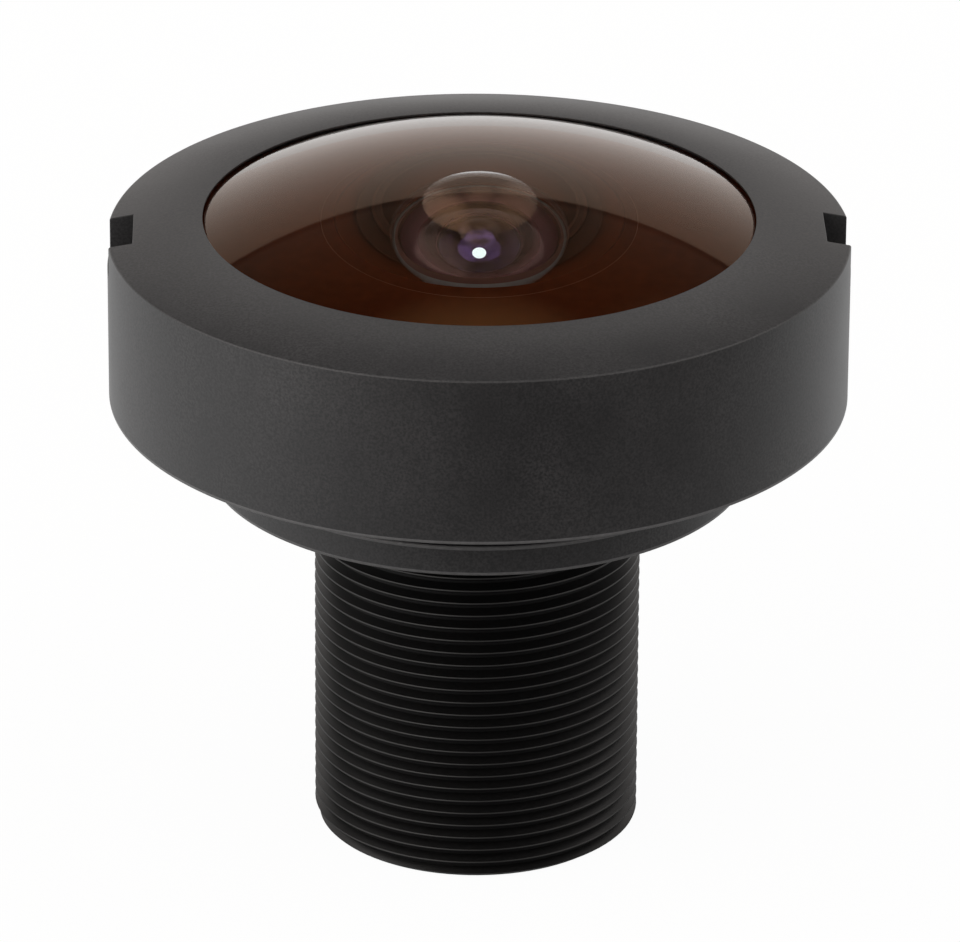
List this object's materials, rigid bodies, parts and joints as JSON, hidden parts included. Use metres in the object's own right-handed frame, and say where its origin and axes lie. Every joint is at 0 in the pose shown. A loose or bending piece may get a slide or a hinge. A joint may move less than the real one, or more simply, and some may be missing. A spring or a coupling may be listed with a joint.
{
  "type": "fisheye lens",
  "caption": "Small-camera fisheye lens: domed front element under a screwed, notched front ring, flanged barrel with a fine M12 mounting thread, and a full inner stack of elements and spacers.",
  "frame": {"origin": "centre of the barrel's rear end face, which the lens stands on", "axes": "+Z along the optical axis, from the rear end to the front dome; the two spanner notches lie on +X and -X"},
  "size_m": [0.027, 0.027, 0.026],
  "materials": {
    "anodised_barrel": "black anodised, fine turned thread",
    "anodised_ring": "fine blasted, black anodised, satin",
    "blackened_brass": "chemically blackened, matt",
    "blackened_shim": "blackened thin sheet, matt",
    "seal_rubber": "moulded, matt",
    "washer_film": "thin black polyester film",
    "front_glass": "polished, blackened at the edge and back rim",
    "inner_glass": "polished, with an anti-reflection coating",
    "filter_glass": "polished, with an infrared-blocking coating"
  },
  "bodies": {
    "lens_body": {"barrel": "anodised_barrel", "front_element": "front_glass", "o_ring_seal": "seal_rubber", "front_spacer": "blackened_brass", "second_element": "inner_glass", "light_shield": "blackened_shim", "stack_retainer": "blackened_brass", "third_element": "inner_glass", "stop_tube": "blackened_brass", "aperture_stop": "blackened_shim", "stop_spacer": "blackened_brass", "fourth_element": "inner_glass", "mid_spacer": "blackened_brass", "doublet_crown": "inner_glass", "doublet_flint": "inner_glass", "rear_spacer": "blackened_brass", "rear_element": "inner_glass", "ir_cut_filter": "filter_glass"},
    "ring_washer": {"slip_washer": "washer_film"},
    "front_ring": {"front_ring": "anodised_ring"}
  },
  "joints": [
    {"name": "front_ring_lift", "type": "slide", "parent": "lens_body", "child": "ring_washer", "axis": [0, 0, 1], "range_m": [0, 0.00301]},
    {"name": "front_ring_turn", "type": "hinge", "parent": "ring_washer", "child": "front_ring", "pos_m": [0, 0, 0.02], "axis": [0, 0, 1], "range_deg": [0, 2160]}
  ],
  "couplings": [
    {"joint": "front_ring_lift", "follows": "front_ring_turn", "m_per_rad": 0.000079577}
  ]
}
